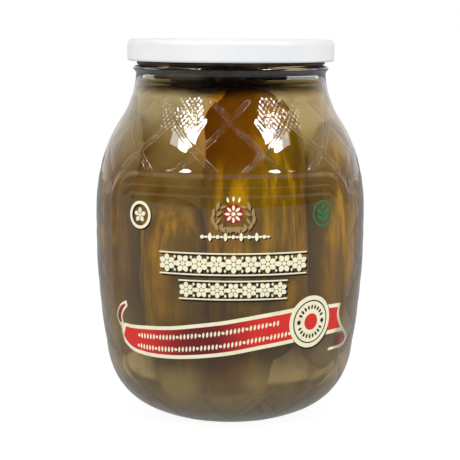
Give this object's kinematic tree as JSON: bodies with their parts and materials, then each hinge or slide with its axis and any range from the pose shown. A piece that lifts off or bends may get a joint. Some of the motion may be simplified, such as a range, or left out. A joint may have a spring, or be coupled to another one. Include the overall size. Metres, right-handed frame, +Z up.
{
  "type": "jar of pickles",
  "caption": "Round bellied glass jar of pickled cucumbers in brine, with recessed label panels, a beaded neck and a white twist-off metal lid.",
  "frame": {"origin": "middle of the foot ring, on the surface that the jar stands on", "axes": "+Z up along the jar's axis, the front label panel faces -Y, +X to the right of it"},
  "size_m": [0.1096, 0.1088, 0.153],
  "materials": {
    "glass": "clear moulded glass with a fine diamond relief outside the label panels",
    "lid_paint": "glossy white lacquer on tinplate",
    "brine": "cloudy olive-brown brine"
  },
  "bodies": {
    "root": {"jar": "glass", "lid": "lid_paint", "brine": "brine"}
  },
  "joints": []
}
